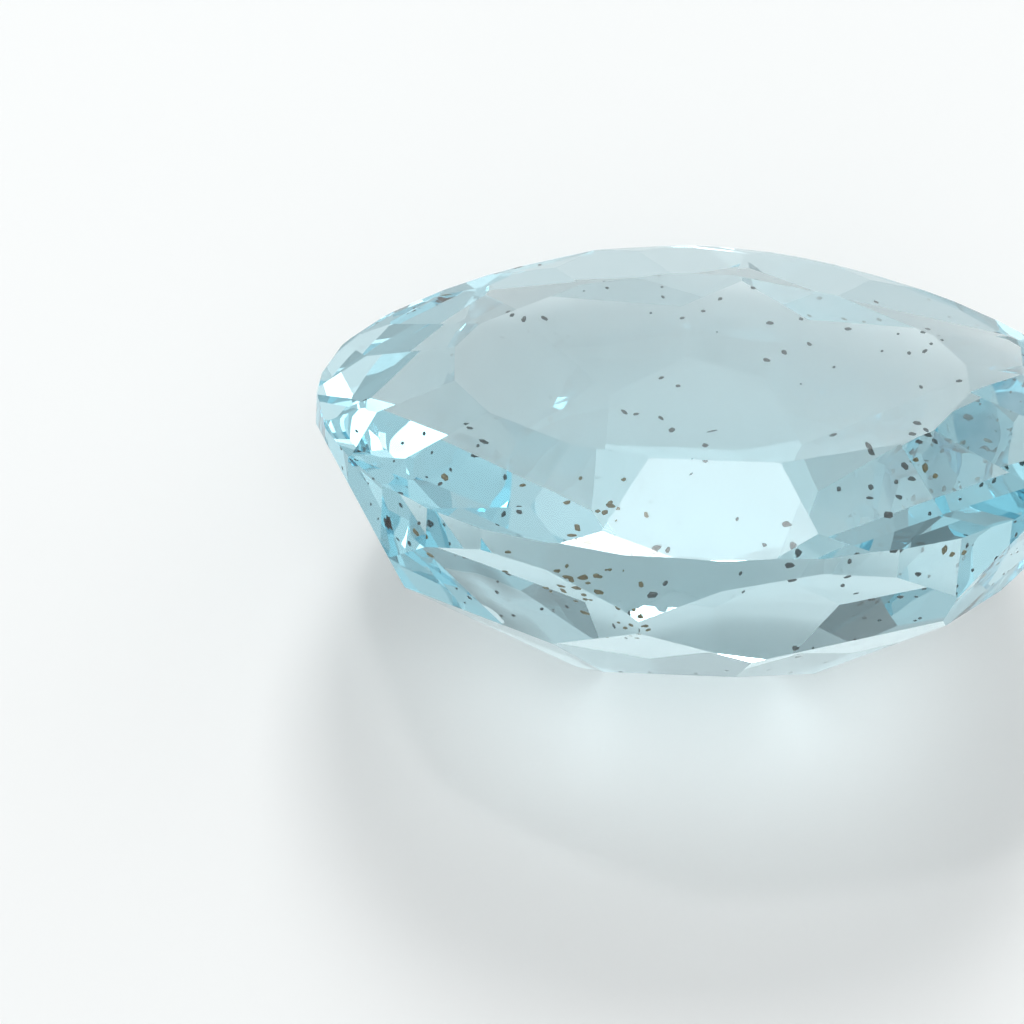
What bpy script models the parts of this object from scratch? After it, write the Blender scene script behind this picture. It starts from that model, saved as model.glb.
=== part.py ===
"""Oval aquamarine, cut facet by facet from a block and laid on one of its pavilion facets."""

import math
import random
from collections import namedtuple

import bmesh
import bpy
from mathutils import Matrix, Vector

# Driving dimensions in metres; the girdle's middle plane is at height 0 while the stone is cut
LENGTH = 0.0100
WIDTH = 0.0072
GIRDLE_HEIGHT = 0.00027
CROWN_HEIGHT = 0.00048
TABLE_LENGTH_SHARE = 0.66
TABLE_WIDTH_SHARE = 0.60

# The cutter left the two long sides unlike: 2 is a true ellipse, less is pointed, more is flat
FAR_SIDE_POWER = 1.70
NEAR_SIDE_POWER = 2.18

# The pavilion goes down in three steps: each ring has its depth and its share of the outline
SHOULDER_DEPTH = 0.00174
SHOULDER_SHARES = (0.852, 0.830)
KNEE_DEPTH = 0.00269
KNEE_SHARES = (0.586, 0.609)
KEEL_DEPTH = 0.00410
KEEL_LENGTH_SHARE = 0.19

# Facets around the stone in each tier; some tiers start half a step around
HALF_STEP = 0.5
GIRDLE_FACETS = 32
CROWN_MAINS = 8
SHOULDER_FACETS = 8
KNEE_FACETS = 12
KEEL_FACETS = 4

# The crown and the two upper steps of the pavilion sit a little turned on the girdle
CROWN_TURN = math.radians(0.2)
PAVILION_TURN = math.radians(-10.0)

# Where the small crown facets meet the mains, as shares of the crown's width and height
STAR_REACH = 0.42
STAR_DROP = 0.40
BREAK_REACH = 0.43
BREAK_RISE = 0.55

# A hand-held dop lets every facet wander by about this much
WANDER_TURN = math.radians(2.1)
WANDER_TILT = math.radians(0.4)
WANDER_DEPTH = 0.000018
HAND_SEED = 12

# Corners closer than this are one meet point
MEET_POINT = 0.000006
CUT_TOLERANCE = 1e-8
BLOCK_MARGIN = 1.2

AQUAMARINE = (0.45, 0.74, 0.80, 1.0)
AQUAMARINE_INDEX = 1.577
POLISH_ROUGHNESS = 0.02

Ring = namedtuple("Ring", "half_length half_width height")
Plane = namedtuple("Plane", "point normal")

HALF_GIRDLE = GIRDLE_HEIGHT / 2
TABLE_TOP = HALF_GIRDLE + CROWN_HEIGHT


def ring(shares, height):
    """A level outline of the stone, as shares of its half length and half width."""
    return Ring(LENGTH / 2 * shares[0], WIDTH / 2 * shares[1], height)


GIRDLE_TOP = ring((1.0, 1.0), HALF_GIRDLE)
GIRDLE_BOTTOM = ring((1.0, 1.0), -HALF_GIRDLE)
TABLE_EDGE = ring((TABLE_LENGTH_SHARE, TABLE_WIDTH_SHARE), TABLE_TOP)
SHOULDER = ring(SHOULDER_SHARES, -SHOULDER_DEPTH)
KNEE = ring(KNEE_SHARES, -KNEE_DEPTH)
KEEL = ring((KEEL_LENGTH_SHARE, 0.0), -KEEL_DEPTH)


def reach(outline, outward):
    """How far an outline reaches in a level direction."""
    side = FAR_SIDE_POWER if outward.y > 0 else NEAR_SIDE_POWER
    power = side / (side - 1)
    along = (outline.half_length * abs(outward.x)) ** power
    across = (outline.half_width * abs(outward.y)) ** power
    return (along + across) ** (1 / power)


def facet_directions(count, shift=0.0, start=0.0):
    """Outward directions spaced evenly around the oval."""
    for index in range(count):
        turn = start + 2 * math.pi * (index + shift) / count
        yield Vector((math.cos(turn) / LENGTH, math.sin(turn) / WIDTH, 0.0)).normalized()


def facet_through(outward, outer_reach, outer_height, inner_reach, inner_height):
    """The facet that runs in from one reach and height to another, facing out and up or down."""
    climb = inner_height - outer_height
    level = outward * abs(climb)
    upright = math.copysign(outer_reach - inner_reach, climb)
    normal = Vector((level.x, level.y, upright)).normalized()
    point = Vector((outward.x * outer_reach, outward.y * outer_reach, outer_height))
    return Plane(point, normal)


def facet_between(outer, inner, outward):
    """The facet that runs from an outer ring to an inner one."""
    return facet_through(
        outward, reach(outer, outward), outer.height, reach(inner, outward), inner.height
    )


def tier(outer, inner, count, shift=0.0, start=0.0):
    """All the facets between two rings."""
    return [
        facet_between(outer, inner, outward) for outward in facet_directions(count, shift, start)
    ]


def girdle_facets():
    """Upright facets around the widest part."""
    return [
        Plane(outward * reach(GIRDLE_TOP, outward), outward)
        for outward in facet_directions(GIRDLE_FACETS, HALF_STEP)
    ]


def star_facets():
    """Shallow crown facets that slope down from the table's edge, between the mains."""
    stars = []
    for outward in facet_directions(CROWN_MAINS, HALF_STEP, CROWN_TURN):
        inner = reach(TABLE_EDGE, outward)
        outer = inner + (reach(GIRDLE_TOP, outward) - inner) * STAR_REACH
        low = TABLE_TOP - CROWN_HEIGHT * STAR_DROP
        stars.append(facet_through(outward, outer, low, inner, TABLE_TOP))
    return stars


def break_facets():
    """Steep crown facets that rise from the girdle on both sides of each main."""
    breaks = []
    for outward in facet_directions(2 * CROWN_MAINS, HALF_STEP, CROWN_TURN):
        outer = reach(GIRDLE_TOP, outward)
        inner = outer - (outer - reach(TABLE_EDGE, outward)) * BREAK_REACH
        high = HALF_GIRDLE + CROWN_HEIGHT * BREAK_RISE
        breaks.append(facet_through(outward, outer, HALF_GIRDLE, inner, high))
    return breaks


def wander(plane, hand):
    """The same facet as a cutter's hand leaves it, a little turned, tilted and deep."""
    turn = Matrix.Rotation(hand.uniform(-WANDER_TURN, WANDER_TURN), 3, "Z")
    level = Vector((-plane.normal.y, plane.normal.x, 0.0)).normalized()
    tilt = Matrix.Rotation(hand.uniform(-WANDER_TILT, WANDER_TILT), 3, level)
    depth = hand.uniform(0.0, WANDER_DEPTH)
    return Plane(plane.point - plane.normal * depth, turn @ tilt @ plane.normal)


def all_facets():
    """Every plane the stone is cut by; the table and the facet it rests on are true."""
    hand = random.Random(HAND_SEED)
    table = Plane(Vector((0.0, 0.0, TABLE_TOP)), Vector((0.0, 0.0, 1.0)))
    mains = tier(GIRDLE_TOP, TABLE_EDGE, CROWN_MAINS, start=CROWN_TURN)
    crown = mains + star_facets() + break_facets()
    shoulder = tier(GIRDLE_BOTTOM, SHOULDER, SHOULDER_FACETS, HALF_STEP, PAVILION_TURN)
    knee = tier(SHOULDER, KNEE, KNEE_FACETS, start=PAVILION_TURN)
    keel = tier(KNEE, KEEL, KEEL_FACETS)
    by_hand = crown + shoulder + knee
    return [table] + girdle_facets() + [wander(plane, hand) for plane in by_hand] + keel


def rough_block(mesh):
    """The block that the stone is cut from."""
    bmesh.ops.create_cube(mesh, size=1.0)
    depth = BLOCK_MARGIN * (TABLE_TOP + KEEL_DEPTH)
    bmesh.ops.scale(mesh, vec=(LENGTH * BLOCK_MARGIN, WIDTH * BLOCK_MARGIN, 2 * depth), verts=mesh.verts)


def cut(mesh, plane):
    """Grind one flat facet: remove what lies outside the plane and close the stone."""
    sliced = bmesh.ops.bisect_plane(
        mesh,
        geom=mesh.verts[:] + mesh.edges[:] + mesh.faces[:],
        dist=CUT_TOLERANCE,
        plane_co=plane.point,
        plane_no=plane.normal,
        clear_outer=True,
    )
    rim = [part for part in sliced["geom_cut"] if isinstance(part, bmesh.types.BMEdge)]
    if rim:
        bmesh.ops.contextual_create(mesh, geom=rim)


def lay_on_rest_facet(mesh):
    """Tip the stone back until its lower pavilion facet on the +Y side is level and faces down."""
    down = facet_between(KNEE, KEEL, Vector((0.0, 1.0, 0.0))).normal
    tip = Matrix.Rotation(-math.atan2(down.y, -down.z), 4, "X")
    bmesh.ops.transform(mesh, matrix=tip, verts=mesh.verts)


def stand_on_origin(mesh):
    """Move the stone so that its footprint's middle is at the origin and it rests on height 0."""
    low = Vector(min(corner.co[axis] for corner in mesh.verts) for axis in range(3))
    high = Vector(max(corner.co[axis] for corner in mesh.verts) for axis in range(3))
    middle = (low + high) / 2
    bmesh.ops.translate(mesh, vec=(-middle.x, -middle.y, -low.z), verts=mesh.verts)


def aquamarine_material():
    """Clear pale blue crystal with a polished surface."""
    material = bpy.data.materials.new("aquamarine")
    material.use_nodes = True
    surface = material.node_tree.nodes["Principled BSDF"]
    surface.inputs["Base Color"].default_value = AQUAMARINE
    surface.inputs["Metallic"].default_value = 0.0
    surface.inputs["Roughness"].default_value = POLISH_ROUGHNESS
    surface.inputs["IOR"].default_value = AQUAMARINE_INDEX
    surface.inputs["Transmission Weight"].default_value = 1.0
    material.diffuse_color = AQUAMARINE
    return material


def aquamarine():
    """The whole stone as one solid."""
    mesh = bmesh.new()
    rough_block(mesh)
    for plane in all_facets():
        cut(mesh, plane)
    bmesh.ops.remove_doubles(mesh, verts=mesh.verts, dist=MEET_POINT)
    bmesh.ops.dissolve_degenerate(mesh, edges=mesh.edges, dist=MEET_POINT)
    lay_on_rest_facet(mesh)
    stand_on_origin(mesh)
    bmesh.ops.recalc_face_normals(mesh, faces=mesh.faces)
    data = bpy.data.meshes.new("aquamarine")
    mesh.to_mesh(data)
    mesh.free()
    stone = bpy.data.objects.new("aquamarine", data)
    stone.data.materials.append(aquamarine_material())
    bpy.context.collection.objects.link(stone)
    return stone


for leftover in list(bpy.data.objects):
    bpy.data.objects.remove(leftover, do_unlink=True)
aquamarine()
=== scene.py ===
"""Looks for a cut aquamarine lying on white paper: clear crystal, inclusions, light and camera."""

import math
import random

import bmesh
import bpy
from mathutils import Matrix, Vector
from mathutils.bvhtree import BVHTree


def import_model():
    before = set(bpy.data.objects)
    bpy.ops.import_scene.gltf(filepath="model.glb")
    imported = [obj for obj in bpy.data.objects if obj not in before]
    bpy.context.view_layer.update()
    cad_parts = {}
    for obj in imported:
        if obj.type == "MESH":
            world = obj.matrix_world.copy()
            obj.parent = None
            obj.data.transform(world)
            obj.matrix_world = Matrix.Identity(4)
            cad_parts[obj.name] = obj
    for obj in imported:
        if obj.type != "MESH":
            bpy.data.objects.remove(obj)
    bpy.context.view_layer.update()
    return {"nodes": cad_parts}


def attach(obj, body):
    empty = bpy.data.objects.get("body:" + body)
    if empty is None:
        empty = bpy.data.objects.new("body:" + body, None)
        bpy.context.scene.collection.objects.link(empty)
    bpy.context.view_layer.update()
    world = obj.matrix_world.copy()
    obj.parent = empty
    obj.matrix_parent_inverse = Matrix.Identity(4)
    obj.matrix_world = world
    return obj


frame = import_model()
stone = frame["nodes"]["aquamarine"]
stone_skin = BVHTree.FromPolygons(
    [corner.co for corner in stone.data.vertices],
    [list(facet.vertices) for facet in stone.data.polygons],
)

MM = 0.001

# The photograph is square, and its pixels are counted from the top left corner
PHOTO_PX = 1024
PHOTO_MIDDLE = PHOTO_PX / 2

# Where the camera stands, seen from a point inside the stone; its azimuth is counted from straight
# in front, anticlockwise as seen from above
CAMERA_TARGET = Vector((0.0, 0.0, 2.7 * MM))
CAMERA_ELEVATION = math.radians(66.57)
CAMERA_AZIMUTH = math.radians(-11.1)
CAMERA_ROLL = math.radians(11.47)
CAMERA_DISTANCE = 80 * MM
TARGET_PIXEL = (704.4, 442.8)
PIXELS_PER_MM = 77.44
SENSOR_MM = 36.0
NEAR_CLIP = 1 * MM

# The stone touches the paper at points, so the paper's mean level is a hair below it
PAPER_GAP = 0.012 * MM
PAPER_HALF = 200 * MM
PAPER_WHITE = (0.92, 0.92, 0.915, 1.0)
PAPER_ROUGHNESS = 0.9
PAPER_GLOSS_LEVEL = 0.1

# Beryl takes out red first, so depth turns it blue
BERYL_INDEX = 1.577
BERYL_TINT = (0.06, 0.69, 0.82, 1.0)
BERYL_DENSITY = 64.0
CLEAR = (1.0, 1.0, 1.0, 1.0)
POLISH_WAVES = 0.012 * MM
POLISH_WAVE_SCALE = 420.0
POLISH_WAVE_DETAIL = 2.0

# The room gets lighter upwards and darker to the right and behind, from one even light
ROOM_COLOUR = (0.965, 0.995, 1.0, 1.0)
ROOM_LIGHT = 0.32
ROOM_SIDE = -0.17
ROOM_BACK = -0.38
ROOM_UP = 0.29
ROOM_DARKEST = 0.03

# Lighter and darker places in the room. Each has an elevation, an azimuth clockwise from straight
# behind the stone and a width, all in degrees, and a strength
ROOM_GLOWS = [
    (38, 5, 6.5, 5.60),
    (0.8, 4.8, 3.2, 2.00),
    (12, -175, 5, 4.50),
    (24, -28.5, 25.5, 1.30),
    (29.5, 47.5, 22.5, 1.13),
    (8.5, 97.5, 33, 0.80),
    (33, 113, 17, -0.60),
    (25, -90, 14, -0.50),
    (78, 156, 5.5, 4.20),
    (71.5, -90, 7, -0.50),
    (46, -133, 31, -0.18),
]

# Lamps: name, elevation and azimuth in degrees as above, side in metres, power in watts
LAMP_DISTANCE = 0.25
LAMPS = [
    ("window", 50, 0, 0.0623, 0.20),
    ("lamp", 65, -30, 0.0155, 0.045),
]

# How far light is followed through the crystal, and how bright one path of it may get
LIGHT_BOUNCES = 24
GLOSSY_BOUNCES = 16
BRIGHTEST_PATH = 20.0
GLOSSY_BLUR = 0.5

# Two kinds of grain in the crystal: dark colour, light colour, roughness and seed
DARK_MICA = ((0.04, 0.06, 0.065), (0.13, 0.16, 0.16), 0.45)
DARK_SEED = 3
BROWN_IRON = ((0.13, 0.105, 0.05), (0.30, 0.25, 0.13), 0.6)
BROWN_SEED = 5
PATCH_SCALE = 9000.0
PATCH_DETAIL = 3.0
GRAIN_CORNERS = (0.72, 1.12)
GRAIN_THICKNESS = (0.5, 0.9)
GRAIN_TILT = 0.7

# How deep the grains lie, as shares of the way through the crystal
DEPTH_SHARES = (0.12, 0.42)
JUST_INSIDE = 0.01 * MM

# Where the photograph shows them: pixel across, pixel down, size in pixels, length over width
DARK_SPOTS = [
    (512, 315, 5, 1.6), (524, 319, 6, 2.0), (544, 318, 6, 1.8), (607, 288, 4, 1.2), (584, 291, 3, 1.0),
    (663, 297, 5, 1.5), (662, 287, 4, 1.0), (703, 311, 5, 1.3), (682, 318, 5, 1.4), (651, 313, 4, 1.0),
    (720, 299, 5, 1.5), (753, 288, 5, 1.3), (717, 332, 3, 1.0), (770, 323, 7, 1.4), (801, 319, 5, 1.2),
    (809, 344, 6, 1.3), (784, 352, 7, 1.5), (767, 360, 7, 1.4), (848, 329, 6, 1.6), (876, 302, 6, 1.3),
    (898, 334, 4, 1.0), (928, 329, 6, 1.2), (942, 340, 5, 1.0), (925, 351, 6, 1.6), (909, 353, 5, 1.2),
    (882, 351, 4, 1.0), (959, 381, 6, 1.4), (921, 387, 5, 1.2), (834, 367, 4, 1.2), (801, 384, 3, 1.0),
    (661, 378, 5, 1.5), (678, 386, 5, 1.3), (624, 412, 5, 1.9), (636, 414, 5, 1.6), (661, 418, 5, 1.8),
    (672, 430, 7, 1.3), (705, 460, 7, 1.1), (712, 431, 3, 5.0), (691, 474, 3, 2.4), (833, 435, 5, 2.0),
    (869, 446, 7, 2.0), (917, 423, 7, 1.6), (919, 442, 7, 1.4), (470, 428, 4, 2.2), (484, 442, 6, 2.2),
    (478, 446, 5, 1.0), (839, 489, 5, 1.6), (871, 487, 7, 1.2), (870, 498, 4, 2.2), (896, 482, 6, 1.2),
    (888, 515, 9, 1.3), (857, 554, 5, 1.4), (632, 554, 5, 2.4), (655, 551, 8, 1.7), (668, 550, 6, 1.5),
    (440, 484, 5, 1.3), (519, 512, 6, 1.3), (737, 519, 5, 1.2), (795, 648, 10, 1.2), (792, 580, 9, 1.3),
    (769, 670, 6, 1.2), (905, 466, 8, 1.5), (912, 479, 7, 1.4), (926, 430, 6, 1.5), (899, 497, 6, 1.5),
]
BROWN_SPOTS = [
    (557, 571, 5, 1.8), (561, 586, 5, 2.2), (571, 579, 6, 2.0), (577, 588, 7, 2.0), (584, 595, 6, 1.5),
    (591, 600, 5, 1.4), (600, 577, 5, 1.3), (599, 592, 6, 2.0), (618, 608, 6, 1.6), (640, 616, 5, 1.5),
    (646, 626, 5, 1.4), (567, 566, 4, 1.5), (588, 583, 5, 1.5), (606, 570, 3, 1.3), (634, 610, 4, 1.3),
    (925, 468, 8, 1.6), (935, 476, 6, 1.3), (916, 460, 6, 1.4), (508, 552, 5, 1.6), (430, 555, 8, 1.4),
]


def camera():
    """The photograph's viewpoint."""
    level = math.cos(CAMERA_ELEVATION)
    toward = Vector(
        (
            math.sin(CAMERA_AZIMUTH) * level,
            -math.cos(CAMERA_AZIMUTH) * level,
            math.sin(CAMERA_ELEVATION),
        )
    )
    right = Vector((math.cos(CAMERA_AZIMUTH), math.sin(CAMERA_AZIMUTH), 0.0))
    up = toward.cross(right)
    rolled_right = right * math.cos(CAMERA_ROLL) + up * math.sin(CAMERA_ROLL)
    rolled_up = up * math.cos(CAMERA_ROLL) - right * math.sin(CAMERA_ROLL)
    focal_px = PIXELS_PER_MM * CAMERA_DISTANCE / MM
    across = (TARGET_PIXEL[0] - PHOTO_MIDDLE) / focal_px
    down = (PHOTO_MIDDLE - TARGET_PIXEL[1]) / focal_px
    aim = Vector((across, down, -1.0)).normalized().rotation_difference(Vector((0, 0, -1)))
    turn = Matrix((rolled_right, rolled_up, toward)).transposed() @ aim.to_matrix()
    data = bpy.data.cameras.new("camera")
    data.sensor_width = SENSOR_MM
    data.lens = SENSOR_MM * focal_px / PHOTO_PX
    data.clip_start = NEAR_CLIP
    seat = bpy.data.objects.new("camera", data)
    place = CAMERA_TARGET + toward * CAMERA_DISTANCE
    seat.matrix_world = Matrix.Translation(place) @ turn.to_4x4()
    bpy.context.collection.objects.link(seat)
    bpy.context.scene.camera = seat
    return seat


def bend(way, normal, index):
    """Which way a ray goes on inside the crystal."""
    facing = -way.dot(normal)
    sideways = (1 - facing * facing) / (index * index)
    return (way / index + normal * (facing / index - math.sqrt(1 - sideways))).normalized()


def inside_the_stone(seat, pixel, share):
    """The place in the crystal that the photograph shows at a pixel, at a share of the way through."""
    focal_px = seat.data.lens / SENSOR_MM * PHOTO_PX
    aim = Vector((pixel[0] - PHOTO_MIDDLE, PHOTO_MIDDLE - pixel[1], -focal_px)).normalized()
    start = seat.matrix_world.translation
    way = (seat.matrix_world.to_3x3() @ aim).normalized()
    entry, normal, _, _ = stone_skin.ray_cast(start, way)
    if entry is None:
        return None
    inner_way = bend(way, normal, BERYL_INDEX)
    leave, _, _, depth = stone_skin.ray_cast(entry + inner_way * JUST_INSIDE, inner_way)
    if leave is None:
        return None
    return entry + inner_way * (depth * share)


def speck(mesh, place, size, stretch, hand):
    """One small rough grain."""
    grain = bmesh.ops.create_icosphere(mesh, subdivisions=1, radius=0.5)["verts"]
    for corner in grain:
        corner.co *= hand.uniform(*GRAIN_CORNERS)
    shape = Matrix.Diagonal((size * stretch, size, size * hand.uniform(*GRAIN_THICKNESS), 1.0))
    turn = Matrix.Rotation(hand.uniform(0, math.tau), 4, "Z")
    tilt = Matrix.Rotation(hand.uniform(-GRAIN_TILT, GRAIN_TILT), 4, "X")
    bmesh.ops.transform(mesh, matrix=Matrix.Translation(place) @ turn @ tilt @ shape, verts=grain)


def grains(seat, name, spots, material, seed):
    """A set of grains that the photograph shows, each at its own depth in the crystal."""
    hand = random.Random(seed)
    mesh = bmesh.new()
    for across, down, size_px, stretch in spots:
        place = inside_the_stone(seat, (across, down), hand.uniform(*DEPTH_SHARES))
        if place is not None:
            speck(mesh, place, size_px / PIXELS_PER_MM * MM, stretch, hand)
    data = bpy.data.meshes.new(name)
    mesh.to_mesh(data)
    mesh.free()
    made = bpy.data.objects.new(name, data)
    made.data.materials.append(material)
    bpy.context.collection.objects.link(made)
    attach(made, "root")


def new_material(name):
    """An empty node material with its surface shader."""
    material = bpy.data.materials.new(name)
    material.use_nodes = True
    return material, material.node_tree, material.node_tree.nodes["Principled BSDF"]


def mineral(name, dark, light, roughness):
    """Dull grain with two colours in patches."""
    material, tree, shader = new_material(name)
    patches = tree.nodes.new("ShaderNodeTexNoise")
    patches.inputs["Scale"].default_value = PATCH_SCALE
    patches.inputs["Detail"].default_value = PATCH_DETAIL
    where = tree.nodes.new("ShaderNodeTexCoord")
    tree.links.new(where.outputs["Object"], patches.inputs["Vector"])
    mix = tree.nodes.new("ShaderNodeMix")
    mix.data_type = "RGBA"
    mix.inputs["A"].default_value = (*dark, 1.0)
    mix.inputs["B"].default_value = (*light, 1.0)
    tree.links.new(patches.outputs["Fac"], mix.inputs["Factor"])
    tree.links.new(mix.outputs["Result"], shader.inputs["Base Color"])
    shader.inputs["Roughness"].default_value = roughness
    return material


def beryl():
    """Clear pale blue crystal that tints light by depth, with a slightly uneven polish."""
    material, tree, shader = new_material("clear_beryl")
    shader.inputs["Base Color"].default_value = CLEAR
    shader.inputs["Transmission Weight"].default_value = 1.0
    shader.inputs["Roughness"].default_value = 0.0
    shader.inputs["IOR"].default_value = BERYL_INDEX
    tint = tree.nodes.new("ShaderNodeVolumeAbsorption")
    tint.inputs["Color"].default_value = BERYL_TINT
    tint.inputs["Density"].default_value = BERYL_DENSITY
    tree.links.new(tint.outputs["Volume"], tree.nodes["Material Output"].inputs["Volume"])
    waves = tree.nodes.new("ShaderNodeTexNoise")
    waves.inputs["Scale"].default_value = POLISH_WAVE_SCALE
    waves.inputs["Detail"].default_value = POLISH_WAVE_DETAIL
    where = tree.nodes.new("ShaderNodeTexCoord")
    tree.links.new(where.outputs["Object"], waves.inputs["Vector"])
    polish = tree.nodes.new("ShaderNodeBump")
    polish.inputs["Strength"].default_value = 1.0
    polish.inputs["Distance"].default_value = POLISH_WAVES
    tree.links.new(waves.outputs["Fac"], polish.inputs["Height"])
    tree.links.new(polish.outputs["Normal"], shader.inputs["Normal"])
    return material


def paper():
    """Smooth white paper."""
    material, _, shader = new_material("paper")
    shader.inputs["Base Color"].default_value = PAPER_WHITE
    shader.inputs["Roughness"].default_value = PAPER_ROUGHNESS
    shader.inputs["Specular IOR Level"].default_value = PAPER_GLOSS_LEVEL
    return material


def floor():
    """The sheet of paper that the stone lies on."""
    mesh = bpy.data.meshes.new("floor")
    sides = ((-1, -1), (1, -1), (1, 1), (-1, 1))
    sheet_corners = [(x * PAPER_HALF, y * PAPER_HALF, -PAPER_GAP) for x, y in sides]
    mesh.from_pydata(sheet_corners, [], [(0, 1, 2, 3)])
    sheet = bpy.data.objects.new("floor", mesh)
    sheet.data.materials.append(paper())
    bpy.context.collection.objects.link(sheet)


def node_math(tree, operation, first, second):
    """A math node on a socket and a number or a second socket."""
    step = tree.nodes.new("ShaderNodeMath")
    step.operation = operation
    tree.links.new(first, step.inputs[0])
    if isinstance(second, float):
        step.inputs[1].default_value = second
    else:
        tree.links.new(second, step.inputs[1])
    return step.outputs["Value"]


def direction(elevation, azimuth):
    """The unit vector from the stone to an elevation and an azimuth clockwise from +Y, in degrees."""
    up = math.radians(elevation)
    turn = math.radians(azimuth)
    return Vector((math.sin(turn) * math.cos(up), math.cos(turn) * math.cos(up), math.sin(up)))


def glow(tree, way, spot):
    """Light that is strongest in one direction and fades away around it."""
    elevation, azimuth, width, strength = spot
    toward = tree.nodes.new("ShaderNodeVectorMath")
    toward.operation = "DOT_PRODUCT"
    toward.inputs[1].default_value = direction(elevation, azimuth)
    tree.links.new(way, toward.inputs[0])
    away = node_math(tree, "SUBTRACT", toward.outputs["Value"], 1.0)
    fade = node_math(tree, "DIVIDE", away, 1.0 - math.cos(math.radians(width)))
    shape = node_math(tree, "EXPONENT", fade, 0.0)
    return node_math(tree, "MULTIPLY", shape, strength)


def world():
    """A plain pale room: even light with soft brighter and darker sides."""
    sky = bpy.data.worlds.new("room")
    bpy.context.scene.world = sky
    sky.use_nodes = True
    tree = sky.node_tree
    back = tree.nodes["Background"]
    back.inputs["Color"].default_value = ROOM_COLOUR
    way = tree.nodes.new("ShaderNodeTexCoord").outputs["Generated"]
    split = tree.nodes.new("ShaderNodeSeparateXYZ")
    tree.links.new(way, split.inputs["Vector"])
    behind = node_math(tree, "MULTIPLY", split.outputs["Y"], ROOM_BACK)
    above = node_math(tree, "MULTIPLY", split.outputs["Z"], ROOM_UP)
    beside = node_math(tree, "MULTIPLY", split.outputs["X"], ROOM_SIDE)
    light = node_math(tree, "ADD", behind, above)
    light = node_math(tree, "ADD", light, beside)
    light = node_math(tree, "ADD", light, ROOM_LIGHT)
    for spot in ROOM_GLOWS:
        light = node_math(tree, "ADD", light, glow(tree, way, spot))
    light = node_math(tree, "MAXIMUM", light, ROOM_DARKEST)
    tree.links.new(light, back.inputs["Strength"])


def softbox(name, elevation, azimuth, side, power):
    """A square lamp that faces the stone."""
    data = bpy.data.lights.new(name, "AREA")
    data.size = side
    data.energy = power
    lamp = bpy.data.objects.new(name, data)
    toward = direction(elevation, azimuth)
    lamp.location = toward * LAMP_DISTANCE
    lamp.rotation_euler = (-toward).to_track_quat("-Z", "Y").to_euler()
    bpy.context.collection.objects.link(lamp)


def look():
    """How light is followed through the crystal and how the picture is toned."""
    scene = bpy.context.scene
    scene.view_settings.view_transform = "Standard"
    scene.cycles.use_denoising = True
    scene.cycles.max_bounces = LIGHT_BOUNCES
    scene.cycles.transmission_bounces = LIGHT_BOUNCES
    scene.cycles.glossy_bounces = GLOSSY_BOUNCES
    scene.cycles.sample_clamp_indirect = BRIGHTEST_PATH
    scene.cycles.blur_glossy = GLOSSY_BLUR


stone.data.materials.clear()
stone.data.materials.append(beryl())
photo_seat = camera()
floor()
world()
grains(photo_seat, "dark_grains", DARK_SPOTS, mineral("dark_mica", *DARK_MICA), DARK_SEED)
grains(photo_seat, "brown_grains", BROWN_SPOTS, mineral("brown_iron", *BROWN_IRON), BROWN_SEED)
for lamp in LAMPS:
    softbox(*lamp)
look()
